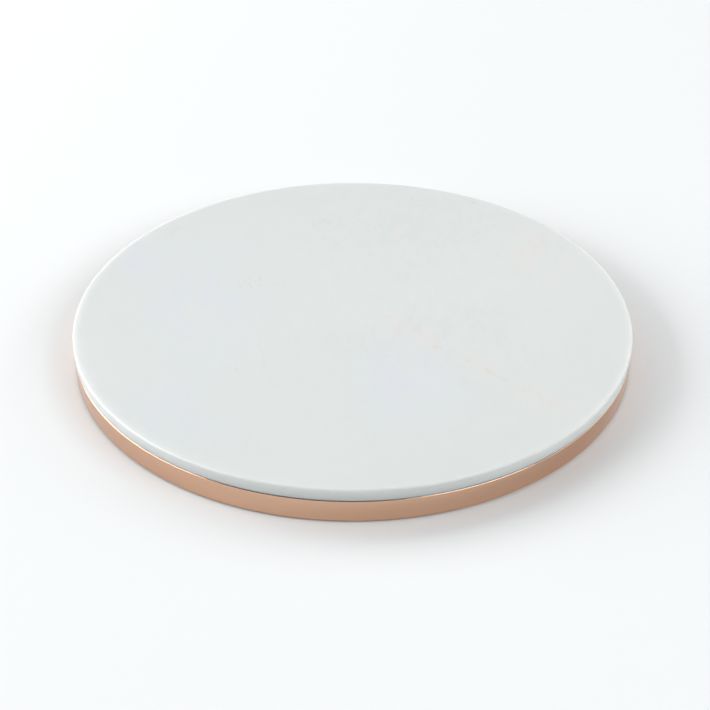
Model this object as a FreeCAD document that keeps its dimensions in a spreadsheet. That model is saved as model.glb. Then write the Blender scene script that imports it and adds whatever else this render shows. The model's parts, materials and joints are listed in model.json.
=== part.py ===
import FreeCAD, Part
import os
import Sketcher
from FreeCAD import Placement, Rotation, Vector

# Lazy susan turntable, millimetres. Z = 0 is the table, and the spin axis is +Z.
# The base stands still on its feet. The ball cage and the turntable go round it.

SIZES = {
    # the turning top
    "disc_radius": 203.2,
    "slab_thickness": 9.0,
    "slab_top_round": 1.2,
    "slab_foot_bevel": 0.4,
    "joint_gap": 0.35,
    "band_table_gap": 1.5,
    "band_wall": 1.5,
    "band_round": 0.5,
    "seam_width": 0.25,
    "core_thickness": 6.4,
    "core_edge_gap": 0.1,
    "bond_thickness": 0.7,
    "bond_pad_radius": 22.0,
    "bond_circle": 150.0,
    # clips and splice that hold the band
    "clip_thickness": 1.2,
    "clip_reach": 18.7,
    "clip_drop": 7.0,
    "clip_arc": 5.0,
    "clip_outer_bend": 1.8,
    "clip_inner_bend": 0.6,
    "clip_screw_inset": 12.5,
    "splice_arc": 9.0,
    # ball bearing
    "ball_radius": 2.38,
    "ball_orbit": 140.0,
    "ball_level": 6.9,
    "groove_clearance": 0.16,
    "race_gap": 2.4,
    "race_height": 6.8,
    "race_lift": 0.7,
    "rim_width": 5.8,
    "flange_width": 11.0,
    "flange_thickness": 3.0,
    "race_bevel": 0.5,
    "cage_wall": 1.3,
    "cage_floor_gap": 0.4,
    "cage_height": 6.6,
    "pocket_clearance": 0.17,
    "cage_joint_arc": 0.6,
    # standing base
    "foot_height": 1.4,
    "plate_thickness": 1.8,
    "plate_radius": 143.5,
    "plate_bore_radius": 45.0,
    "plate_window_radius": 18.0,
    "window_circle": 80.0,
    "foot_radius": 12.0,
    "foot_circle": 113.0,
    "foot_bevel": 0.6,
    "foot_stem_radius": 3.9,
    "foot_barb_radius": 5.3,
    "foot_tip_radius": 2.6,
    "foot_barb_height": 3.4,
    "foot_hole_radius": 4.0,
    # screws
    "machine_screw_radius": 1.5,
    "machine_head_radius": 2.8,
    "machine_head_height": 1.6,
    "machine_screw_length": 4.6,
    "wood_screw_radius": 1.75,
    "wood_head_radius": 3.4,
    "wood_head_height": 2.1,
    "wood_head_round": 0.9,
    "wood_bite": 4.4,
    "screw_tip": 1.0,
    "screw_fit": 0.05,
    "slot_width": 0.7,
    "slot_reach": 1.7,
    "slot_depth": 0.9,
}

BALLS = 24
CAGE_SEGMENTS = 4
SPOKES = 6  # feet, clips and screws all stand in sixes

os.makedirs("parts", exist_ok=True)
doc = FreeCAD.newDocument("LazySusan")
dims = doc.addObject("Spreadsheet::Sheet", "Dims")
for row, (alias, size) in enumerate(SIZES.items(), start=1):
    dims.set(f"A{row}", alias)
    dims.set(f"B{row}", str(size))
    dims.setAlias(f"B{row}", alias)
doc.recompute()


def bound(formula):
    """Point every size named in a formula at its cell of the sheet."""
    words = formula.replace("(", "( ").replace(")", " )").split()
    return " ".join(f"Dims.{word}" if word in SIZES else word for word in words)


def value_of(formula):
    return float(dims.evalExpression(bound(formula)))


# heights and radii that follow from the sheet
PLATE_TOP = "(foot_height + plate_thickness)"
OUTER_RACE_FOOT = f"({PLATE_TOP} + race_lift)"
CORE_FOOT = f"({OUTER_RACE_FOOT} + race_height)"
CORE_TOP = f"({CORE_FOOT} + core_thickness)"
SLAB_FOOT = f"({CORE_TOP} + bond_thickness)"
BAND_TOP = f"({SLAB_FOOT} - joint_gap)"
BAND_BORE = "(disc_radius - band_wall)"
CORE_RADIUS = f"({BAND_BORE} - core_edge_gap)"
INNER_FACE = "(ball_orbit - race_gap / 2)"
OUTER_FACE = "(ball_orbit + race_gap / 2)"
INNER_SCREW_CIRCLE = f"({INNER_FACE} - rim_width - flange_width / 2)"
OUTER_SCREW_CIRCLE = f"({OUTER_FACE} + rim_width + flange_width / 2)"
CLIP_SCREW_CIRCLE = f"({BAND_BORE} - clip_screw_inset)"

subparts = []


# ---- how pieces are drawn ----

def new_body(label):
    body = doc.addObject("PartDesign::Body", label)
    body.Label = label
    body.AllowCompound = True
    subparts.append(body)
    return body


def sketch_on(body, role, name, shift=None):
    """Sketch on an origin plane of the body, its own origin moved by formulas."""
    sketch = body.newObject("Sketcher::SketchObject", name)
    plane = next(item for item in body.Origin.OriginFeatures if item.Role == role)
    sketch.AttachmentSupport = (plane, [""])
    sketch.MapMode = "FlatFace"
    for axis, formula in (shift or {}).items():
        sketch.setExpression(f"AttachmentOffset.Base.{axis}", bound(formula))
    return sketch


def bind(sketch, kind, where, formula):
    index = sketch.addConstraint(Sketcher.Constraint(kind, *where, value_of(formula)))
    sketch.setExpression(f"Constraints[{index}]", bound(formula))


def outline(sketch, corners):
    """Closed straight-sided outline with every corner bound to the sheet."""
    spots = [Vector(value_of(across), value_of(up), 0) for across, up in corners]
    for start, end in zip(spots, spots[1:] + spots[:1]):
        sketch.addGeometry(Part.LineSegment(start, end), False)
    for side, (across, up) in enumerate(corners):
        before = (side - 1) % len(corners)
        sketch.addConstraint(Sketcher.Constraint("Coincident", before, 2, side, 1))
        bind(sketch, "DistanceX", (-1, 1, side, 1), across)
        bind(sketch, "DistanceY", (-1, 1, side, 1), up)


def circle(sketch, across, up, radius):
    centre = Vector(value_of(across), value_of(up), 0)
    geometry = sketch.addGeometry(Part.Circle(centre, Vector(0, 0, 1), value_of(radius)), False)
    bind(sketch, "DistanceX", (-1, 1, geometry, 3), across)
    bind(sketch, "DistanceY", (-1, 1, geometry, 3), up)
    bind(sketch, "Radius", (geometry,), radius)


def on_circle(angle, radius):
    """Across and up formulas of a spot on a circle."""
    return f"{radius} * cos( {angle} deg )", f"{radius} * sin( {angle} deg )"


def spoke_circles(sketch, first_angle, circle_radius, hole_radius):
    for spoke in range(SPOKES):
        across, up = on_circle(first_angle + spoke * 360 / SPOKES, circle_radius)
        circle(sketch, across, up, hole_radius)


def feature(body, kind, name, sketch, **settings):
    made = body.newObject(f"PartDesign::{kind}", name)
    made.Profile = (sketch, [""])
    for setting, value in settings.items():
        setattr(made, setting, value)
    return made


def spin(body, kind, name, sketch, **settings):
    """Revolution or Groove about the sketch's own upright axis."""
    return feature(body, kind, name, sketch, ReferenceAxis=(sketch, ["V_Axis"]), **settings)


def pad(body, name, sketch, height):
    made = feature(body, "Pad", name, sketch)
    made.setExpression("Length", bound(height))
    return made


def through(body, name, sketch):
    return feature(body, "Pocket", name, sketch, Type=1, Midplane=True)


def pocket_up(body, name, sketch, depth):
    """Blind pocket from its sketch towards +Z."""
    made = feature(body, "Pocket", name, sketch, Reversed=True)
    made.setExpression("Length", bound(depth))
    return made


def around(body, name, features, count):
    """Repeat features evenly about the body's Z axis."""
    pattern = body.newObject("PartDesign::PolarPattern", name)
    pattern.Originals = features
    axis = next(item for item in body.Origin.OriginFeatures if item.Role == "Z_Axis")
    pattern.Axis = (axis, [""])
    pattern.Angle = 360
    pattern.Occurrences = count
    body.Tip = pattern
    return pattern


def rim_edges(shape, radius, level):
    """Names of the circular edges at a radius and a height."""
    names = []
    for number, edge in enumerate(shape.Edges, start=1):
        box = edge.BoundBox
        flat = box.ZLength < 1e-6 and abs(box.ZMin - value_of(level)) < 1e-4
        if flat and abs(box.XMax - value_of(radius)) < 1e-4:
            names.append(f"Edge{number}")
    return names


def dress(body, kind, name, sizes, radius, level):
    """Fillet or Chamfer on the rims found at a radius and a height."""
    doc.recompute()
    base = body.Tip
    made = body.newObject(f"PartDesign::{kind}", name)
    made.Base = (base, rim_edges(base.Shape, radius, level))
    for setting, formula in sizes.items():
        made.setExpression(setting, bound(formula))
    return made


def turned(body, angle):
    body.Placement = Placement(Vector(0, 0, 0), Rotation(Vector(0, 0, 1), angle))


# ---- the turning top ----

def marble_top():
    body = new_body("marble_top")
    sketch = sketch_on(body, "XY_Plane", "slab_plan", {"z": SLAB_FOOT})
    circle(sketch, "0", "0", "disc_radius")
    pad(body, "slab", sketch, "slab_thickness")
    top = f"{SLAB_FOOT} + slab_thickness"
    dress(body, "Fillet", "top_round", {"Radius": "slab_top_round"}, "disc_radius", top)
    dress(body, "Chamfer", "foot_bevel", {"Size": "slab_foot_bevel"}, "disc_radius", SLAB_FOOT)


def edge_band():
    body = new_body("edge_band")
    sketch = sketch_on(body, "XZ_Plane", "band_section")
    outline(sketch, [(BAND_BORE, "band_table_gap"), ("disc_radius", "band_table_gap"),
                     ("disc_radius", BAND_TOP), (BAND_BORE, BAND_TOP)])
    spin(body, "Revolution", "band_ring", sketch)
    for name, level in (("band_top_round", BAND_TOP), ("band_foot_round", "band_table_gap")):
        dress(body, "Fillet", name, {"Radius": "band_round"}, "disc_radius", level)
    # the butt seam where the strip was rolled and closed, at the back
    seam = sketch_on(body, "XY_Plane", "seam_plan")
    half = "seam_width / 2"
    outline(seam, [(f"0 - {half}", "disc_radius - 2 * band_wall"),
                   (half, "disc_radius - 2 * band_wall"),
                   (half, "disc_radius + band_wall"),
                   (f"0 - {half}", "disc_radius + band_wall")])
    through(body, "seam_cut", seam)


def band_splice():
    body = new_body("band_splice")
    sketch = sketch_on(body, "XZ_Plane", "splice_section")
    inside = f"{BAND_BORE} - clip_thickness"
    top = f"{CORE_FOOT} - clip_thickness"
    foot = f"{CORE_FOOT} - clip_drop"
    outline(sketch, [(inside, foot), (BAND_BORE, foot), (BAND_BORE, top), (inside, top)])
    strip = spin(body, "Revolution", "splice_strip", sketch, Midplane=True)
    strip.setExpression("Angle", bound("splice_arc"))
    turned(body, 90)


def core_disc():
    body = new_body("core_disc")
    sketch = sketch_on(body, "XY_Plane", "core_plan", {"z": CORE_FOOT})
    circle(sketch, "0", "0", CORE_RADIUS)
    pad(body, "core", sketch, "core_thickness")
    pilots = sketch_on(body, "XY_Plane", "pilot_plan", {"z": CORE_FOOT})
    for screw_circle in (OUTER_SCREW_CIRCLE, CLIP_SCREW_CIRCLE):
        spoke_circles(pilots, 0, screw_circle, "wood_screw_radius + screw_fit")
    pocket_up(body, "pilot_holes", pilots, "wood_bite + screw_fit")


def bond_pads():
    body = new_body("bond_pads")
    sketch = sketch_on(body, "XY_Plane", "bond_plan", {"z": CORE_TOP})
    circle(sketch, "0", "0", "bond_pad_radius")
    spoke_circles(sketch, 30, "bond_circle", "bond_pad_radius")
    pad(body, "bond", sketch, "bond_thickness")


def band_clip(number):
    """Curved steel angle: its upright leg is welded in the band, its other leg lies under the core."""
    body = new_body(f"band_clip_{number}")
    sketch = sketch_on(body, "XZ_Plane", "clip_section")
    tip = f"{BAND_BORE} - clip_reach"
    web = f"{BAND_BORE} - clip_thickness"
    ledge = f"{CORE_FOOT} - clip_thickness"
    foot = f"{CORE_FOOT} - clip_drop"
    outline(sketch, [(tip, ledge), (web, ledge), (web, foot), (BAND_BORE, foot),
                     (BAND_BORE, CORE_FOOT), (tip, CORE_FOOT)])
    angle_strip = spin(body, "Revolution", "clip_angle", sketch, Midplane=True)
    angle_strip.setExpression("Angle", bound("clip_arc"))
    dress(body, "Fillet", "outer_bend", {"Radius": "clip_outer_bend"}, BAND_BORE, CORE_FOOT)
    dress(body, "Fillet", "inner_bend", {"Radius": "clip_inner_bend"}, web, ledge)
    hole = sketch_on(body, "XY_Plane", "clip_hole_plan")
    circle(hole, CLIP_SCREW_CIRCLE, "0", "wood_screw_radius + screw_fit")
    through(body, "clip_hole", hole)
    turned(body, (number - 1) * 360 / SPOKES)


# ---- the bearing ----

def race(label, face, foot, toward, flange_foot):
    """Extruded ring: a tall rim with the ball groove, and a flat flange for its screws.

    toward is the sign of the way from the groove face to the flange.
    """
    body = new_body(label)
    sketch = sketch_on(body, "XZ_Plane", "race_section")
    rim = f"{face} {toward} rim_width"
    flange = f"{rim} {toward} flange_width"
    top = f"{foot} + race_height"
    flange_top = f"{flange_foot} + flange_thickness"
    near = f"{face} {toward} race_bevel"
    low = [(near, foot), (face, f"{foot} + race_bevel")]
    high = [(face, f"{top} - race_bevel"), (near, top)]
    if flange_foot == foot:
        far = [(rim, top), (rim, flange_top), (flange, flange_top), (flange, foot)]
    else:
        far = [(flange, top), (flange, flange_foot), (rim, flange_foot), (rim, foot)]
    outline(sketch, low + high + far)
    spin(body, "Revolution", "race_ring", sketch)
    groove = sketch_on(body, "XZ_Plane", "groove_section")
    circle(groove, "ball_orbit", "ball_level", "ball_radius + groove_clearance")
    spin(body, "Groove", "ball_groove", groove)
    return body


def inner_race():
    body = race("inner_race", INNER_FACE, PLATE_TOP, "-", PLATE_TOP)
    holes = sketch_on(body, "XY_Plane", "tapped_plan")
    spoke_circles(holes, 0, INNER_SCREW_CIRCLE, "machine_screw_radius + screw_fit")
    through(body, "tapped_holes", holes)


def outer_race():
    top = f"{OUTER_RACE_FOOT} + race_height"
    body = race("outer_race", OUTER_FACE, OUTER_RACE_FOOT, "+", f"{top} - flange_thickness")
    holes = sketch_on(body, "XY_Plane", "screw_plan")
    spoke_circles(holes, 0, OUTER_SCREW_CIRCLE, "wood_screw_radius + screw_fit")
    through(body, "screw_holes", holes)


def cage_segment(number):
    """Quarter of the ball cage: a thin upright strip with a round pocket for each ball."""
    body = new_body(f"cage_segment_{number}")
    share = 360 / CAGE_SEGMENTS
    pitch = 360 / BALLS
    sketch = sketch_on(body, "XZ_Plane", "cage_section")
    inside = "ball_orbit - cage_wall / 2"
    outside = "ball_orbit + cage_wall / 2"
    foot = f"{PLATE_TOP} + cage_floor_gap"
    top = f"{foot} + cage_height"
    outline(sketch, [(inside, foot), (outside, foot), (outside, top), (inside, top)])
    strip = spin(body, "Revolution", "cage_strip", sketch, Midplane=True)
    strip.setExpression("Angle", bound(f"{share} - cage_joint_arc"))
    for pocket in range(BALLS // CAGE_SEGMENTS):
        angle = (pocket + 0.5) * pitch - share / 2
        hole = sketch_on(body, "YZ_Plane", "pocket_section")
        hole.AttachmentOffset = Placement(Vector(0, 0, 0), Rotation(Vector(0, 1, 0), angle))
        circle(hole, "0", "ball_level", "ball_radius + pocket_clearance")
        cut = feature(body, "Pocket", "ball_pocket", hole, Reversed=True)
        cut.setExpression("Length", bound("ball_orbit + cage_wall"))
    turned(body, (number - 0.5) * share)


def ball(number):
    sphere = doc.addObject("Part::Sphere", f"ball_{number:02d}")
    sphere.Label = f"ball_{number:02d}"
    sphere.setExpression("Radius", bound("ball_radius"))
    across, up = on_circle((number - 0.5) * 360 / BALLS, "ball_orbit")
    sphere.setExpression("Placement.Base.x", bound(across))
    sphere.setExpression("Placement.Base.y", bound(up))
    sphere.setExpression("Placement.Base.z", bound("ball_level"))
    subparts.append(sphere)


# ---- the standing base ----

def base_plate():
    body = new_body("base_plate")
    sketch = sketch_on(body, "XY_Plane", "plate_plan", {"z": "foot_height"})
    circle(sketch, "0", "0", "plate_radius")
    circle(sketch, "0", "0", "plate_bore_radius")
    spoke_circles(sketch, 0, "window_circle", "plate_window_radius")
    spoke_circles(sketch, 30, "foot_circle", "foot_hole_radius")
    spoke_circles(sketch, 0, INNER_SCREW_CIRCLE, "machine_screw_radius + screw_fit")
    pad(body, "plate", sketch, "plate_thickness")
    sink = sketch_on(body, "XZ_Plane", "sink_section", {"x": INNER_SCREW_CIRCLE})
    outline(sink, [("0", "foot_height"), ("machine_head_radius + screw_fit", "foot_height"),
                   ("machine_screw_radius + screw_fit", "foot_height + machine_head_height"),
                   ("0", "foot_height + machine_head_height")])
    cone = spin(body, "Groove", "countersink", sink)
    around(body, "countersinks", [cone], SPOKES)


def foot(number):
    """Rubber button, its stem pushed up through the plate and held by a barb."""
    body = new_body(f"foot_{number}")
    sketch = sketch_on(body, "XZ_Plane", "foot_section")
    barb_top = f"{PLATE_TOP} + foot_barb_height"
    outline(sketch, [("0", "0"), ("foot_radius - foot_bevel", "0"),
                     ("foot_radius", "foot_bevel"), ("foot_radius", "foot_height"),
                     ("foot_stem_radius", "foot_height"), ("foot_stem_radius", PLATE_TOP),
                     ("foot_barb_radius", PLATE_TOP), ("foot_tip_radius", barb_top),
                     ("0", barb_top)])
    spin(body, "Revolution", "foot_turning", sketch)
    across, up = on_circle(30 + (number - 1) * 360 / SPOKES, "foot_circle")
    body.setExpression("Placement.Base.x", bound(across))
    body.setExpression("Placement.Base.y", bound(up))


# ---- screws ----

def cross_slot(body, screw_circle, level, depth):
    """Cross recess cut up into the first screw's head."""
    sketch = sketch_on(body, "XY_Plane", "cross_plan", {"x": screw_circle, "z": level})
    wide = "slot_reach"
    half = "slot_width / 2"
    outline(sketch, [(f"0 - {wide}", f"0 - {half}"), (f"0 - {half}", f"0 - {half}"),
                     (f"0 - {half}", f"0 - {wide}"), (half, f"0 - {wide}"),
                     (half, f"0 - {half}"), (wide, f"0 - {half}"),
                     (wide, half), (half, half),
                     (half, wide), (f"0 - {half}", wide),
                     (f"0 - {half}", half), (f"0 - {wide}", half)])
    return pocket_up(body, "cross_recess", sketch, depth)


def plate_screws():
    """Countersunk machine screws, driven up through the plate into the inner race."""
    body = new_body("plate_screws")
    sketch = sketch_on(body, "XZ_Plane", "screw_section", {"x": INNER_SCREW_CIRCLE})
    end = "foot_height + machine_screw_length"
    outline(sketch, [("0", "foot_height"), ("machine_head_radius", "foot_height"),
                     ("machine_screw_radius", "foot_height + machine_head_height"),
                     ("machine_screw_radius", f"{end} - screw_tip / 2"),
                     ("machine_screw_radius - screw_tip / 2", end), ("0", end)])
    blank = spin(body, "Revolution", "screw_turning", sketch)
    recess = cross_slot(body, INNER_SCREW_CIRCLE, "foot_height", "slot_depth")
    around(body, "screw_ring", [blank, recess], SPOKES)


def wood_screws(label, screw_circle, seat):
    """Pan-head screws driven up into the core. seat is the face that their heads press on."""
    body = new_body(label)
    sketch = sketch_on(body, "XZ_Plane", "screw_section", {"x": screw_circle})
    head = f"{seat} - wood_head_height"
    end = f"{CORE_FOOT} + wood_bite"
    outline(sketch, [("0", head), ("wood_head_radius - wood_head_round", head),
                     ("wood_head_radius", f"{head} + wood_head_round"),
                     ("wood_head_radius", seat), ("wood_screw_radius", seat),
                     ("wood_screw_radius", f"{end} - screw_tip"),
                     ("wood_screw_radius - screw_tip", end), ("0", end)])
    blank = spin(body, "Revolution", "screw_turning", sketch)
    recess = cross_slot(body, screw_circle, head, "slot_depth")
    around(body, "screw_ring", [blank, recess], SPOKES)


base_plate()
inner_race()
plate_screws()
for number in range(1, SPOKES + 1):
    foot(number)
for number in range(1, CAGE_SEGMENTS + 1):
    cage_segment(number)
for number in range(1, BALLS + 1):
    ball(number)
outer_race()
core_disc()
wood_screws("race_screws", OUTER_SCREW_CIRCLE, f"{CORE_FOOT} - flange_thickness")
edge_band()
band_splice()
for number in range(1, SPOKES + 1):
    band_clip(number)
wood_screws("clip_screws", CLIP_SCREW_CIRCLE, f"{CORE_FOOT} - clip_thickness")
bond_pads()
marble_top()

doc.recompute()

for item in doc.Objects:
    if "Invalid" in item.State or "Error" in item.State:
        raise RuntimeError(f"{item.Label} ({item.Name}) failed: {item.State}")

# a pocket or groove that points away from its solid would cut nothing
for item in doc.Objects:
    if item.TypeId in ("PartDesign::Pocket", "PartDesign::Groove"):
        if item.Shape.Volume > item.BaseFeature.Shape.Volume - 1e-3:
            raise RuntimeError(f"{item.Name} cut nothing")

for item in subparts:
    shape = item.Shape
    if shape.isNull() or not shape.isValid():
        raise RuntimeError(f"{item.Label} has a bad shape")
    shape.exportStep(f"parts/{item.Label}.step")
    box = shape.BoundBox
    print(f"{item.Label:18s} solids {len(shape.Solids)}  volume {shape.Volume:11.1f}"
          f"  z {box.ZMin:6.2f} to {box.ZMax:6.2f}  x {box.XMin:8.2f} to {box.XMax:8.2f}")
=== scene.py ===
import json
import math
import bmesh
import bpy
import numpy as np
from mathutils import Matrix, Vector


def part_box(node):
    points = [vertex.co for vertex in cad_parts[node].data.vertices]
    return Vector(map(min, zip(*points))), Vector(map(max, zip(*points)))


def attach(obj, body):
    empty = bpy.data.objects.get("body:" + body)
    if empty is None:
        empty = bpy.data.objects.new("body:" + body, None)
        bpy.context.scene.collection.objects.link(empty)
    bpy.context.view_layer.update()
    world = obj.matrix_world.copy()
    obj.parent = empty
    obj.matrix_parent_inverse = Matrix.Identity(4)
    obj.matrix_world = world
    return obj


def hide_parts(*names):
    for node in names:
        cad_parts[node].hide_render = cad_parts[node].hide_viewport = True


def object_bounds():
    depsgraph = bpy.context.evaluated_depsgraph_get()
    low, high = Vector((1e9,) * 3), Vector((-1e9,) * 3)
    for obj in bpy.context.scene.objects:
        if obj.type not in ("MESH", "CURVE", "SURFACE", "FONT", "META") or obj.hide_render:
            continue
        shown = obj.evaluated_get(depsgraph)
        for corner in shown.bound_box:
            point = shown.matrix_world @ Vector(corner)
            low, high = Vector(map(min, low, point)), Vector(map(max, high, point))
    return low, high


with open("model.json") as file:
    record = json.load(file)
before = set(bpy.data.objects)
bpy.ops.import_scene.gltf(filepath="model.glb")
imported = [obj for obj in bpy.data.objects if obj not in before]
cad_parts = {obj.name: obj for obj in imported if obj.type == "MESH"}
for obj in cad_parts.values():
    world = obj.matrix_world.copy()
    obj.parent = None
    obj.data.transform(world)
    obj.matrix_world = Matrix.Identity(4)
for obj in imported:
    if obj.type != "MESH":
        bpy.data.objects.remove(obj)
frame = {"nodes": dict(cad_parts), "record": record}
cadLow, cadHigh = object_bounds()
bodyOf = {node: body for body, nodes in frame["record"]["behaviour"]["bodies"].items() for node in nodes}
slotOf = {part["node"]: part["material_slot"] for part in frame["record"]["subparts"]}

mm = 0.001
discRadius = (cadHigh.x - cadLow.x) / 2
turn = 2 * math.pi


# a grid of points, first index along the profile, second index round or along the path
# a profile row that sits on one point becomes a pole; an open path with a closed profile gets end caps
def surface(name, grid, closeProfile=False, closePath=True, sharp=38):
    index = np.arange(grid.shape[0] * grid.shape[1]).reshape(grid.shape[:2])
    spread = np.ptp(grid, axis=1).max(axis=1)
    index[spread < 1e-9] = index[spread < 1e-9][:, :1]
    if closeProfile:
        index = np.vstack([index, index[:1]])
    if closePath:
        index = np.hstack([index, index[:, :1]])
    used, packed = np.unique(index, return_inverse=True)
    points = grid.reshape(-1, 3)[used]
    index = packed.reshape(index.shape)
    a, b = index[:-1, :-1].ravel(), index[:-1, 1:].ravel()
    c, d = index[1:, 1:].ravel(), index[1:, :-1].ravel()
    corners = points[a], points[b], points[c], points[d]
    volume = (corners[0] * np.cross(corners[1], corners[2])).sum()
    volume += (corners[0] * np.cross(corners[2], corners[3])).sum()
    full = (a != b) & (c != d)
    faces = np.stack([a, b, c, d], 1)[full].tolist()
    faces += np.stack([a, c, d], 1)[(a == b) & (c != d)].tolist()
    faces += np.stack([a, b, c], 1)[(a != b) & (c == d)].tolist()
    if closeProfile and not closePath:
        faces += [index[:-1, 0].tolist(), index[:-1, -1][::-1].tolist()]
    if volume < 0:
        faces = [face[::-1] for face in faces]
    mesh = bpy.data.meshes.new(name)
    mesh.from_pydata(points.tolist(), [], faces)
    mesh.shade_smooth()
    mesh.set_sharp_from_angle(angle=math.radians(sharp))
    piece = bpy.data.objects.new(name, mesh)
    bpy.context.scene.collection.objects.link(piece)
    return piece


# a chain of straight runs with its corners turned into arcs
# at each corner the arc's centre lies on the bisector, radius / sin(half the angle) from the corner
def rounded(corners, closed=True, steps=6):
    spots = np.array([corner[:2] for corner in corners], float)
    chain = []
    for number, (spot, corner) in enumerate(zip(spots, corners)):
        radius = corner[2] if len(corner) > 2 else 0
        ends = not closed and number in (0, len(spots) - 1)
        if ends or radius == 0:
            chain.append(spot)
            continue
        back = spots[number - 1] - spot
        ahead = spots[(number + 1) % len(spots)] - spot
        back, ahead = back / np.linalg.norm(back), ahead / np.linalg.norm(ahead)
        half = math.acos(np.clip(back @ ahead, -1, 1)) / 2
        middle = back + ahead
        centre = spot + middle / np.linalg.norm(middle) * radius / math.sin(half)
        first = spot + back * radius / math.tan(half) - centre
        last = spot + ahead * radius / math.tan(half) - centre
        start = math.atan2(first[1], first[0])
        sweep = (math.atan2(last[1], last[0]) - start + math.pi) % turn - math.pi
        angles = start + sweep * np.linspace(0, 1, steps + 1)
        chain.extend(centre + radius * np.stack([np.cos(angles), np.sin(angles)], 1))
    return np.array(chain)


# point = (r cos t, r sin t, z) with (r, z) along the profile and t along the angles
def turned(profile, angles):
    radius, height = profile[:, :1], profile[:, 1:]
    flat = np.ones_like(angles)[None]
    return np.stack([radius * np.cos(angles), radius * np.sin(angles), height * flat], -1)


# evenly spaced angles from 0 to just under one turn
def fullCircle(segments):
    return np.arange(segments) * turn / segments


# stands a finished piece in for its CAD node
def settle(piece, node, material):
    piece.data.materials.clear()
    piece.data.materials.append(material)
    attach(piece, bodyOf[node])
    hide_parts(node)
    return piece


# a socket that adds Math nodes when it is used in an expression
class Wire:
    def __init__(self, graph, socket):
        self.graph = graph
        self.socket = socket

    def maths(self, operation, *values, clamp=False):
        settings = {"operation": operation, "use_clamp": clamp}
        return self.graph.add("ShaderNodeMath", settings, dict(enumerate(values)))

    def __add__(self, other):
        return self.maths("ADD", self, other)

    def __sub__(self, other):
        return self.maths("SUBTRACT", self, other)

    def __rsub__(self, other):
        return self.maths("SUBTRACT", other, self)

    def __mul__(self, other):
        return self.maths("MULTIPLY", self, other)

    def __truediv__(self, other):
        return self.maths("DIVIDE", self, other)

    def __pow__(self, other):
        return self.maths("POWER", self, other)

    def __neg__(self):
        return self.maths("MULTIPLY", self, -1)

    __radd__ = __add__
    __rmul__ = __mul__

    # 0 below low, 1 above high, straight between
    def between(self, low, high):
        return self.maths("MULTIPLY", self - low, 1 / (high - low), clamp=True)

    # exp(-x^2): 1 on the line, fading either side
    def bell(self):
        return self.maths("EXPONENT", -(self * self))


# one material's nodes; every place in it is in the piece's own coordinates
class Graph:
    def __init__(self, name):
        self.material = bpy.data.materials.new(name)
        self.material.use_nodes = True
        self.tree = self.material.node_tree
        self.tree.nodes.clear()
        self.place = self.add("ShaderNodeTexCoord", output="Object")

    # any node: its type, its settings, its socket values or wires, and which output to hand back
    def add(self, kind, settings=None, inputs=None, output=0):
        node = self.tree.nodes.new(kind)
        for name, value in (settings or {}).items():
            setattr(node, name, value)
        for name, value in (inputs or {}).items():
            if isinstance(value, Wire):
                self.tree.links.new(value.socket, node.inputs[name])
            else:
                node.inputs[name].default_value = value
        return Wire(self, node.outputs[output]) if node.outputs else None

    def vector(self, operation, *values, output=0):
        return self.add("ShaderNodeVectorMath", {"operation": operation}, dict(enumerate(values)), output)

    # the place with each axis scaled on its own
    def stretched(self, x, y, z, place=None):
        return self.vector("MULTIPLY", place or self.place, (x, y, z))

    def noise(self, scale, detail=3, rough=0.5, place=None, output="Fac"):
        inputs = {"Vector": place or self.place, "Scale": scale, "Detail": detail, "Roughness": rough}
        return self.add("ShaderNodeTexNoise", {"noise_dimensions": "3D"}, inputs, output)

    # the three coordinates of the place
    def axes(self):
        return [self.add("ShaderNodeSeparateXYZ", None, {0: self.place}, axis) for axis in range(3)]

    # exp(-d^2) with d the distance from a spot, counted in reaches across and along
    def softPatch(self, place, spot, reach):
        offset = self.vector("SUBTRACT", place, (spot[0], spot[1], 0))
        scaled = self.vector("MULTIPLY", offset, (1 / reach[0], 1 / reach[1], 0))
        return self.vector("LENGTH", scaled, output=1).bell()

    # moves colour a towards colour b by a factor
    def blend(self, factor, a, b):
        settings = {"data_type": "RGBA", "blend_type": "MIX"}
        return self.add("ShaderNodeMix", settings, {0: factor, 6: a, 7: b}, 2)

    # a normal tilted by the slope of a height
    def bump(self, height, distance, strength=1.0):
        inputs = {"Strength": strength, "Distance": distance, "Height": height}
        return self.add("ShaderNodeBump", None, inputs)

    # closes the material with one principled shader, underscores standing for spaces in socket names
    def finish(self, **inputs):
        words = {name.replace("_", " "): value for name, value in inputs.items()}
        shader = self.add("ShaderNodeBsdfPrincipled", None, words)
        self.add("ShaderNodeOutputMaterial", None, {"Surface": shader})
        return self.material


def colour(red, green, blue):
    return (red, green, blue, 1.0)


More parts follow.
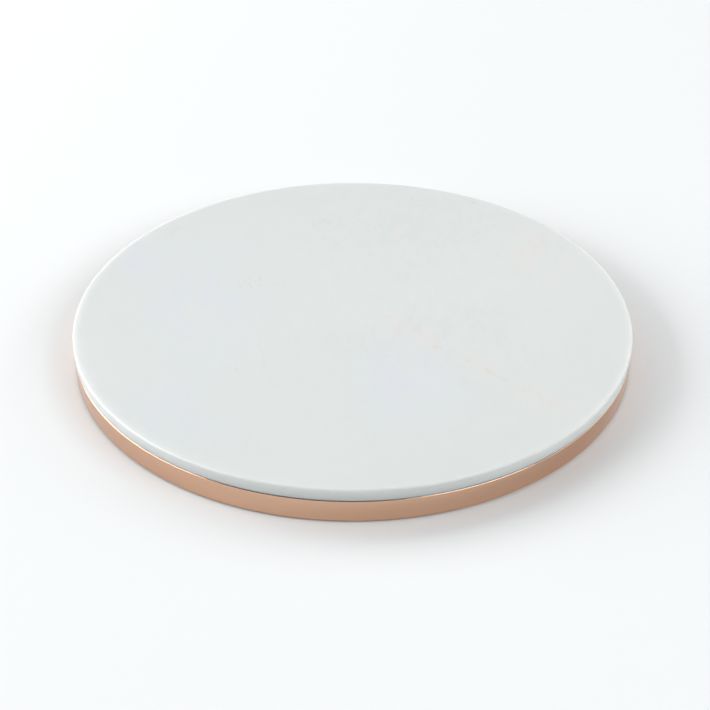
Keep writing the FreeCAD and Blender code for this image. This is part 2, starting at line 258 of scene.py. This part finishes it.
marbleLook = {
    "body": colour(0.542, 0.567, 0.560),
    "cloud": colour(0.517, 0.543, 0.536),
    "cool": colour(0.529, 0.553, 0.585),
    "blush": colour(0.568, 0.548, 0.532),
    "rust": colour(0.490, 0.425, 0.365),
    "grey": colour(0.415, 0.435, 0.430),
    "glow": {"weight": 0.8, "radius": (1.0, 0.95, 0.90), "reach": 12 * mm},
    "roughness": 0.29,
    "veinWidth": 1.6 * mm,
    "haloWidth": 8.5 * mm,
    "hairWidth": 0.7 * mm,
    "veinWander": 34 * mm,
    "hairWander": 10 * mm,
    "bend": 110 * mm,
    "grainDepth": 0.010 * mm,
    "veinRun": ((0.026, -0.004), (0.152, -0.132)),
    "hairRun": ((-0.069, -0.020), (-0.050, -0.122)),
    "coolPatches": (((-0.118, 0.022), (0.036, 0.070)), ((-0.130, -0.120), (0.040, 0.038)),
                    ((0.046, -0.092), (0.036, 0.042)), ((-0.160, 0.072), (0.016, 0.026))),
    "blushPatches": (((0.146, 0.086), (0.024, 0.036)), ((0.052, 0.122), (0.007, 0.010)),
                     ((-0.052, 0.122), (0.007, 0.012)), ((0.130, -0.120), (0.018, 0.010))),
    "greyPatches": (((0.062, 0.122), (0.080, 0.070)), ((0.060, -0.030), (0.070, 0.050)),
                    ((-0.017, 0.128), (0.012, 0.055))),
    "speckPatches": (((-0.072, 0.036), (0.013, 0.010)), ((-0.088, -0.070), (0.007, 0.006)),
                     ((0.000, -0.035), (0.004, 0.004)), ((0.058, 0.180), (0.010, 0.005)),
                     ((0.097, 0.166), (0.006, 0.008)), ((-0.148, 0.120), (0.008, 0.006))),
}


# how far across a straight run a place lies, and how far along it from 0 to 1, with a wander across
def runCoordinates(graph, run, wander):
    (startX, startY), (endX, endY) = run
    length = math.hypot(endX - startX, endY - startY)
    alongX, alongY = (endX - startX) / length, (endY - startY) / length
    x, y, z = graph.axes()
    along = ((x - startX) * alongX + (y - startY) * alongY) / length
    across = (y - startY) * alongX - (x - startX) * alongY + wander
    return across, along


# clouds and cool zones = soft noise inside soft patches; mottle = stretched noise inside soft patches
# the warm vein and the hairline = bell curves of the distance from a wandering run, broken up by noise
def makeMarble():
    graph = Graph("marble")
    wobble = graph.vector("SUBTRACT", graph.noise(9, 4, output="Color"), (0.5, 0.5, 0.5))
    bend = graph.vector("MULTIPLY", wobble, (marbleLook["bend"],) * 3)
    bent = graph.vector("ADD", graph.place, bend)

    def patches(name):
        total = 0
        for spot, reach in marbleLook[name]:
            total = graph.softPatch(bent, spot, reach) + total
        return total

    clouds = graph.noise(7, 3, 0.5, bent).between(0.30, 0.70)
    streaks = graph.noise(1, 3, 0.55, graph.stretched(95, 38, 60, bent)).between(0.42, 0.80)
    mottle = graph.noise(1, 3, 0.55, graph.stretched(210, 130, 170)).between(0.50, 0.78)
    grain = graph.noise(1500, 2, 0.6)
    specks = graph.noise(1, 2, 0.5, graph.stretched(420, 260, 340)).between(0.56, 0.70)

    wander = (graph.noise(24, 4, 0.6) - 0.5) * marbleLook["veinWander"]
    across, along = runCoordinates(graph, marbleLook["veinRun"], wander)
    window = along.between(-0.04, 0.06) * (1 - along.between(0.90, 1.04))
    blushBreaks = graph.noise(30, 3, 0.6).between(0.40, 0.66)
    rustBreaks = graph.noise(75, 3, 0.6).between(0.50, 0.64) * graph.noise(17, 2).between(0.36, 0.56)
    halo = (across / marbleLook["haloWidth"]).bell() * window * blushBreaks
    rust = (across / marbleLook["veinWidth"]).bell() * window * rustBreaks * (1 - along * 0.7)

    wander = (graph.noise(48, 4) - 0.5) * marbleLook["hairWander"]
    acrossHair, alongHair = runCoordinates(graph, marbleLook["hairRun"], wander)
    hairWindow = alongHair.between(0.0, 0.15) * (1 - alongHair.between(0.60, 1.0))
    hairBreaks = graph.noise(130, 2).between(0.30, 0.60)
    hair = (acrossHair / marbleLook["hairWidth"]).bell() * hairWindow * hairBreaks

    base = graph.blend(clouds * 0.55, marbleLook["body"], marbleLook["cloud"])
    coolBreaks = graph.noise(1, 4, 0.6, graph.stretched(38, 17, 30, bent)).between(0.38, 0.55)
    warmBreaks = graph.noise(1, 4, 0.65, graph.stretched(52, 30, 40)).between(0.42, 0.60)
    base = graph.blend(patches("coolPatches") * coolBreaks * 0.85, base, marbleLook["cool"])
    base = graph.blend(patches("blushPatches") * warmBreaks * 0.70, base, marbleLook["blush"])
    greys = patches("greyPatches")
    base = graph.blend(streaks * (greys + 0.25) * 0.16, base, marbleLook["grey"])
    base = graph.blend(mottle * (greys + 0.12) * 0.20, base, marbleLook["grey"])
    base = graph.blend(halo * 0.80, base, marbleLook["blush"])
    base = graph.blend(rust * 0.60, base, marbleLook["rust"])
    base = graph.blend(hair * 0.20, base, marbleLook["grey"])
    base = graph.blend(specks * (patches("speckPatches") * 0.60 + 0.04), base, marbleLook["grey"])
    base = graph.blend(grain * 0.06, base, marbleLook["grey"])
    roughness = graph.noise(60, 2) * 0.05 + marbleLook["roughness"]
    skin = graph.bump(grain, marbleLook["grainDepth"], 0.4)
    glow = marbleLook["glow"]
    return graph.finish(Base_Color=base, Roughness=roughness, IOR=1.5, Normal=skin,
                        Subsurface_Weight=glow["weight"], Subsurface_Radius=glow["radius"],
                        Subsurface_Scale=glow["reach"])


bandLook = {
    "metal": colour(0.690, 0.440, 0.312),
    "warm": colour(0.645, 0.385, 0.255),
    "roughness": 0.12,
    "lineDepth": 0.0016 * mm,
}


# fine lines that run round the band = noise squeezed hard in height; handling marks = broad soft noise
def makeCopper():
    graph = Graph("copperPlate")
    lines = graph.noise(1, 3, 0.6, graph.stretched(28, 28, 5200))
    handling = graph.noise(24, 4, 0.55).between(0.35, 0.7)
    tint = graph.noise(9, 3).between(0.35, 0.7)
    base = graph.blend(tint * 0.35 + lines * 0.12, bandLook["metal"], bandLook["warm"])
    roughness = lines * 0.06 + handling * 0.05 + bandLook["roughness"]
    skin = graph.bump(lines, bandLook["lineDepth"])
    return graph.finish(Base_Color=base, Metallic=1.0, Roughness=roughness, Normal=skin)


# pressed wood fibre: short speckle over a warm brown, matt and slightly hairy
def makeBoard():
    graph = Graph("fibreBoard")
    fibre = graph.noise(700, 5, 0.7, graph.stretched(1, 2.2, 1))
    patches = graph.noise(45, 3)
    base = graph.blend(fibre.between(0.35, 0.7), colour(0.33, 0.215, 0.125), colour(0.50, 0.36, 0.235))
    base = graph.blend(patches.between(0.4, 0.8) * 0.3, base, colour(0.40, 0.27, 0.16))
    skin = graph.bump(fibre, 0.12 * mm, 0.6)
    return graph.finish(Base_Color=base, Roughness=fibre * 0.2 + 0.72, Normal=skin)


# drawn metal: lines that follow the ring = noise over (radius + height), squeezed hard
def makeDrawnMetal(name, metal, dull, roughness):
    graph = Graph(name)
    x, y, z = graph.axes()
    radius = (x * x + y * y) ** 0.5
    rings = graph.add("ShaderNodeCombineXYZ", None, {0: x * 20, 1: y * 20, 2: (radius + z) * 3600})
    lines = graph.noise(1, 3, 0.6, rings)
    stain = graph.noise(60, 4).between(0.4, 0.75)
    base = graph.blend(stain * 0.5 + lines * 0.2, metal, dull)
    rough = lines * 0.14 + stain * 0.08 + roughness
    skin = graph.bump(lines, 0.006 * mm, 0.8)
    return graph.finish(Base_Color=base, Metallic=1.0, Roughness=rough, Normal=skin)


# plated steel: a cloudy passivated film over bright metal, with small random scuffs
def makeZinc(name, metal, film, roughness):
    graph = Graph(name)
    clouds = graph.noise(130, 4).between(0.35, 0.7)
    scuff = graph.noise(1400, 2, 0.6, graph.stretched(1, 0.3, 1))
    base = graph.blend(clouds * 0.6, metal, film)
    rough = clouds * 0.12 + scuff * 0.12 + roughness
    return graph.finish(Base_Color=base, Metallic=1.0, Roughness=rough,
                        Normal=graph.bump(scuff, 0.008 * mm, 0.6))


# ground steel: near mirror, with a slight haze
def makeBallSteel():
    graph = Graph("bearingSteel")
    haze = graph.noise(900, 3)
    return graph.finish(Base_Color=colour(0.74, 0.75, 0.77), Metallic=1.0, Roughness=haze * 0.06 + 0.05)


# moulded surface: matt skin with a fine grain = high-frequency noise as bump
def makeMoulded(name, plain, shade, roughness, grain, depth):
    graph = Graph(name)
    skin = graph.noise(grain, 4, 0.6)
    clouds = graph.noise(70, 3).between(0.35, 0.7)
    base = graph.blend(clouds * 0.5, plain, shade)
    rough = skin * 0.16 + clouds * 0.06 + roughness
    return graph.finish(Base_Color=base, Roughness=rough, Normal=graph.bump(skin, depth, 0.8))


finishes = {
    "marble": makeMarble(),
    "band_copper": makeCopper(),
    "core_board": makeBoard(),
    "bond_adhesive": makeMoulded("curedAdhesive", colour(0.70, 0.68, 0.60), colour(0.62, 0.59, 0.50),
                                 0.42, 500, 0.06 * mm),
    "race_aluminium": makeDrawnMetal("drawnAluminium", colour(0.76, 0.77, 0.78),
                                     colour(0.62, 0.63, 0.65), 0.28),
    "ball_steel": makeBallSteel(),
    "cage_nylon": makeMoulded("nylon", colour(0.80, 0.78, 0.70), colour(0.74, 0.71, 0.62),
                              0.40, 900, 0.03 * mm),
    "plate_paint": makeMoulded("powderCoat", colour(0.030, 0.031, 0.033), colour(0.040, 0.041, 0.043),
                               0.42, 1300, 0.10 * mm),
    "clip_steel": makeZinc("platedSheet", colour(0.66, 0.67, 0.68), colour(0.58, 0.57, 0.50), 0.28),
    "screw_steel": makeZinc("platedScrew", colour(0.64, 0.64, 0.64), colour(0.60, 0.56, 0.44), 0.28),
    "foot_rubber": makeMoulded("rubber", colour(0.022, 0.022, 0.023), colour(0.034, 0.034, 0.035),
                               0.62, 1100, 0.05 * mm),
}
print("finishes made:", len(finishes))


slab = {"topRound": 1.2 * mm, "footBevel": 0.4 * mm, "handWork": 0.10 * mm, "segments": 480,
        "rings": 22, "arcPoints": 9}


# profile: axis, foot, bevel, side, a quarter arc whose radius wavers a little round the edge, top, axis
# waver = three sine waves round the edge, added up
def makeSlab():
    low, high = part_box("marble_top")
    angles = fullCircle(slab["segments"])
    waver = 0.5 * np.sin(5 * angles + 0.4) + 0.3 * np.sin(11 * angles + 2.0) + 0.2 * np.sin(23 * angles)
    arris = slab["topRound"] + slab["handWork"] * waver
    bevel = slab["footBevel"] * (1 + 0.15 * np.roll(waver, 90))
    footRadius = (discRadius - bevel)[None] * np.linspace(0, 1, slab["rings"])[:, None]
    footHeight = np.full_like(footRadius, low.z)
    side = np.stack([np.full_like(angles, discRadius)] * 2)
    sideHeight = np.stack([low.z + bevel, high.z - arris * 1.6])
    quarter = np.linspace(0, math.pi / 2, slab["arcPoints"])[:, None]
    arcRadius = discRadius - arris + arris * np.cos(quarter)
    arcHeight = high.z - arris + arris * np.sin(quarter)
    topRadius = (discRadius - arris)[None] * np.linspace(1, 0, slab["rings"])[1:, None]
    topHeight = np.full_like(topRadius, high.z)
    radius = np.vstack([footRadius, side, arcRadius, topRadius])
    height = np.vstack([footHeight, sideHeight, arcHeight, topHeight])
    grid = np.stack([radius * np.cos(angles), radius * np.sin(angles), height], -1)
    settle(surface("marbleSlab", grid), "marble_top", finishes["marble"])


makeSlab()
print("slab made")


band = {"wall": 1.5 * mm, "outerRound": 0.5 * mm, "innerRound": 0.15 * mm, "seam": 0.25 * mm,
        "segments": 720}


# a rounded strip section carried round from one side of the butt seam to the other
def makeBand():
    low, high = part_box("edge_band")
    inside = discRadius - band["wall"]
    section = rounded([
        (inside, low.z, band["innerRound"]),
        (discRadius, low.z, band["outerRound"]),
        (discRadius, high.z, band["outerRound"]),
        (inside, high.z, band["innerRound"]),
    ])
    halfSeam = band["seam"] / 2 / discRadius
    angles = math.pi / 2 + halfSeam + (turn - 2 * halfSeam) * np.linspace(0, 1, band["segments"])
    piece = surface("copperBand", turned(section, angles), closeProfile=True, closePath=False)
    settle(piece, "edge_band", finishes["band_copper"])


makeBand()
print("band made")


foot = {"dish": 0.35 * mm, "dishShare": 0.42, "ridges": 3, "ridgeDepth": 0.28 * mm, "edge": 0.35 * mm,
        "stem": 3.9 * mm, "barb": 5.3 * mm, "barbRound": 0.3 * mm, "tip": 2.6 * mm, "tipRound": 0.6 * mm,
        "treadShares": (0.46, 0.90), "treadPoints": 40, "segments": 72}


# profile: dished middle, rings of tread = a cosine over the radius, rounded rim, stem, barb
def makeFoot(node):
    low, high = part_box(node)
    plateLow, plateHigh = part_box("base_plate")
    centre = (low + high) / 2
    reach = (high.x - low.x) / 2
    inner = np.stack([np.linspace(0, reach * foot["dishShare"], 5), np.full(5, foot["dish"])], 1)
    first, last = foot["treadShares"]
    tread = np.linspace(reach * first, reach * last, foot["treadPoints"])
    wave = 0.5 - 0.5 * np.cos(turn * foot["ridges"] * (tread - tread[0]) / (tread[-1] - tread[0]))
    outer = np.stack([tread, foot["ridgeDepth"] * wave], 1)
    rim = rounded([
        (tread[-1], 0), (reach, 0, foot["edge"]), (reach, plateLow.z, foot["edge"]),
        (foot["stem"], plateLow.z), (foot["stem"], plateHigh.z),
        (foot["barb"], plateHigh.z, foot["barbRound"]),
        (foot["tip"], high.z, foot["tipRound"]), (0, high.z),
    ], closed=False, steps=5)
    profile = np.vstack([inner, outer, rim[1:]])
    grid = turned(profile, fullCircle(foot["segments"])) + np.array([centre.x, centre.y, low.z])
    name = "foot" + node.split("_")[1]
    settle(surface(name, grid, sharp=50), node, finishes["foot_rubber"])


for number in range(1, 7):
    makeFoot(f"foot_{number}")
print("feet made")


ball = {"risePoints": 19, "segments": 36}


# half circle from pole to pole, turned once
def makeBall(node):
    low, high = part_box(node)
    centre = (low + high) / 2
    radius = (high.z - low.z) / 2
    rise = np.linspace(-math.pi / 2, math.pi / 2, ball["risePoints"])
    profile = np.stack([radius * np.cos(rise), radius * np.sin(rise)], 1)
    profile[[0, -1], 0] = 0
    grid = turned(profile, fullCircle(ball["segments"])) + np.array(centre)
    settle(surface("ball" + node.split("_")[1], grid, sharp=180), node, finishes["ball_steel"])


for number in range(1, 25):
    makeBall(f"ball_{number:02d}")
print("balls made")


race = {"faceGap": 1.2 * mm, "rim": 5.8 * mm, "flange": 11.0 * mm, "flangeThickness": 3.0 * mm,
        "grooveClearance": 0.16 * mm, "bevel": 0.5 * mm, "edge": 0.12 * mm, "segments": 480,
        "groovePoints": 15, "holes": 6, "holeSegments": 40, "outerHole": 1.8 * mm, "innerHole": 1.55 * mm}


# takes upright round holes out of a piece, hole n at n / holes of a turn round a circle
def drill(piece, circle, radius, low, high):
    work = bmesh.new()
    for angle in fullCircle(race["holes"]):
        spot = Vector((circle * math.cos(angle), circle * math.sin(angle), (low + high) / 2))
        bmesh.ops.create_cone(work, cap_ends=True, segments=race["holeSegments"], radius1=radius,
                              radius2=radius, depth=(high - low) * 2, matrix=Matrix.Translation(spot))
    mesh = bpy.data.meshes.new("drills")
    work.to_mesh(mesh)
    work.free()
    drills = bpy.data.objects.new("drills", mesh)
    bpy.context.scene.collection.objects.link(drills)
    holes = piece.modifiers.new("holes", "BOOLEAN")
    holes.solver = "EXACT"
    holes.object = drills
    cut = bpy.data.meshes.new_from_object(piece.evaluated_get(bpy.context.evaluated_depsgraph_get()))
    piece.modifiers.clear()
    piece.data = cut
    cut.name = piece.name
    cut.shade_smooth()
    cut.set_sharp_from_angle(angle=math.radians(30))
    bpy.data.objects.remove(drills)


# profile: bevelled face with a groove arc of (ball radius + clearance) about the ball's centre, rim, flange
# way is 1 where the flange points outward, -1 where it points inward
def makeRace(node, way, hole):
    low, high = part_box(node)
    ballLow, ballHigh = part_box("ball_01")
    ballCentre = (ballLow + ballHigh) / 2
    orbit = math.hypot(ballCentre.x, ballCentre.y)
    groove = (ballHigh.z - ballLow.z) / 2 + race["grooveClearance"]
    opening = math.acos(race["faceGap"] / groove)
    arc = np.linspace(-opening, opening, race["groovePoints"])
    arcPoints = np.stack([orbit + way * groove * np.cos(arc), ballCentre.z + groove * np.sin(arc)], 1)
    face = orbit + way * race["faceGap"]
    near = face + way * race["bevel"]
    rim = face + way * race["rim"]
    flange = rim + way * race["flange"]
    if way > 0:
        level = high.z - race["flangeThickness"]
        far = [(flange, high.z), (flange, level), (rim, level), (rim, low.z)]
    else:
        level = low.z + race["flangeThickness"]
        far = [(rim, high.z), (rim, level), (flange, level), (flange, low.z)]
    corners = [(near, low.z), (face, low.z + race["bevel"])] + arcPoints.tolist()
    corners += [(face, high.z - race["bevel"]), (near, high.z)]
    corners += [(spot[0], spot[1], race["edge"]) for spot in far]
    grid = turned(rounded(corners, steps=3), fullCircle(race["segments"]))
    piece = surface(node.split("_")[0] + "Race", grid, closeProfile=True, sharp=30)
    drill(piece, rim + way * race["flange"] / 2, hole, low.z, high.z)
    settle(piece, node, finishes["race_aluminium"])


makeRace("inner_race", -1, race["innerHole"])
makeRace("outer_race", 1, race["outerHole"])
print("races made")


worked = {"flatAngle": 0.05, "sharpAngle": 30, "bevelAngle": 40, "bevelSegments": 2}


# a merged copy of the node's mesh, with smooth round faces and a small worked edge
def refine(node, edge):
    words = node.split("_")
    name = words[0] + "".join(word.capitalize() for word in words[1:])
    mesh = frame["nodes"][node].data.copy()
    mesh.name = name
    work = bmesh.new()
    work.from_mesh(mesh)
    bmesh.ops.remove_doubles(work, verts=work.verts, dist=1e-6)
    flat = math.radians(worked["flatAngle"])
    bmesh.ops.dissolve_limit(work, angle_limit=flat, verts=work.verts, edges=work.edges)
    work.to_mesh(mesh)
    work.free()
    mesh.shade_smooth()
    mesh.set_sharp_from_angle(angle=math.radians(worked["sharpAngle"]))
    piece = bpy.data.objects.new(name, mesh)
    bpy.context.scene.collection.objects.link(piece)
    bevel = piece.modifiers.new("workedEdge", "BEVEL")
    bevel.width = edge
    bevel.segments = worked["bevelSegments"]
    bevel.limit_method = "ANGLE"
    bevel.angle_limit = math.radians(worked["bevelAngle"])
    bevel.harden_normals = True
    settle(piece, node, finishes[slotOf[node]])


workedEdges = {"base_plate": 0.12, "core_disc": 0.25, "band_splice": 0.1,
               "plate_screws": 0.06, "race_screws": 0.08, "clip_screws": 0.08, "bond_pads": 0.15}
workedEdges.update({f"band_clip_{number}": 0.15 for number in range(1, 7)})
workedEdges.update({f"cage_segment_{number}": 0.12 for number in range(1, 5)})
for node, edge in workedEdges.items():
    refine(node, edge * mm)
print("refined:", len(workedEdges))


room = {"floorSize": 30.0, "floor": colour(0.700, 0.716, 0.724), "sky": 0.10}
lamps = {
    "windowLight": {"from": (110, 44), "distance": 4.0, "size": (7.4, 2.6), "radiance": 1.7},
    "leftLight": {"from": (180, 23), "distance": 4.0, "size": (5.0, 2.3), "radiance": 5.0},
    "rightLight": {"from": (16, 16), "distance": 4.0, "size": (5.0, 2.2), "radiance": 1.7},
    "frontRightLight": {"from": (320, 36), "distance": 4.0, "size": (3.0, 2.2), "radiance": 4.0},
}


# one flat square, far wider than the lamps stand
def makeFloor():
    graph = Graph("paleFloor")
    white = graph.finish(Base_Color=room["floor"], Roughness=0.9, Specular_IOR_Level=0.1)
    half = room["floorSize"] / 2
    mesh = bpy.data.meshes.new("floor")
    corners = [(-half, -half, 0), (half, -half, 0), (half, half, 0), (-half, half, 0)]
    mesh.from_pydata(corners, [], [(0, 1, 2, 3)])
    mesh.materials.append(white)
    floor = bpy.data.objects.new("floor", mesh)
    bpy.context.scene.collection.objects.link(floor)


# faint even light from all round
def makeSky():
    world = bpy.data.worlds.new("studio")
    world.use_nodes = True
    world.node_tree.nodes["Background"].inputs["Color"].default_value = colour(1, 1, 1)
    world.node_tree.nodes["Background"].inputs["Strength"].default_value = room["sky"]
    bpy.context.scene.world = world


# a soft rectangular light that faces the object from a compass direction and a rise, both in degrees
# power = 4 x area x radiance
def makeLamp(name, lamp):
    bearing, rise = (math.radians(angle) for angle in lamp["from"])
    width, height = lamp["size"]
    light = bpy.data.lights.new(name, "AREA")
    light.shape = "RECTANGLE"
    light.size, light.size_y = width, height
    light.energy = 4 * width * height * lamp["radiance"]
    away = Vector((math.cos(bearing) * math.cos(rise), math.sin(bearing) * math.cos(rise), math.sin(rise)))
    stand = bpy.data.objects.new(name, light)
    facing = away.to_track_quat("Z", "Y").to_matrix().to_4x4()
    stand.matrix_world = Matrix.Translation(away * lamp["distance"]) @ facing
    bpy.context.scene.collection.objects.link(stand)


shot = {"elevation": 32.88, "distance": 5.42, "lens": 76.06, "sensor": 36.0,
        "tiltDown": 1.61, "panRight": 0.09, "roll": -0.04}


# stands off from the middle of the marble by a distance in disc radii, looks at it, then turns a little
def makeCamera():
    data = bpy.data.cameras.new("camera")
    data.lens = shot["lens"]
    data.sensor_width = shot["sensor"]
    camera = bpy.data.objects.new("camera", data)
    rise = math.radians(shot["elevation"])
    back = Vector((0, -math.cos(rise), math.sin(rise)))
    aim = Vector((0, 0, cadHigh.z))
    facing = (-back).to_track_quat("-Z", "Y").to_matrix()
    facing = facing @ Matrix.Rotation(math.radians(-shot["panRight"]), 3, "Y")
    facing = facing @ Matrix.Rotation(math.radians(-shot["tiltDown"]), 3, "X")
    facing = facing @ Matrix.Rotation(math.radians(shot["roll"]), 3, "Z")
    camera.matrix_world = Matrix.Translation(aim + back * shot["distance"] * discRadius) @ facing.to_4x4()
    bpy.context.scene.collection.objects.link(camera)
    bpy.context.scene.camera = camera


makeFloor()
makeSky()
for name, lamp in lamps.items():
    makeLamp(name, lamp)
makeCamera()
bpy.context.scene.view_settings.view_transform = "Standard"
print("studio set")
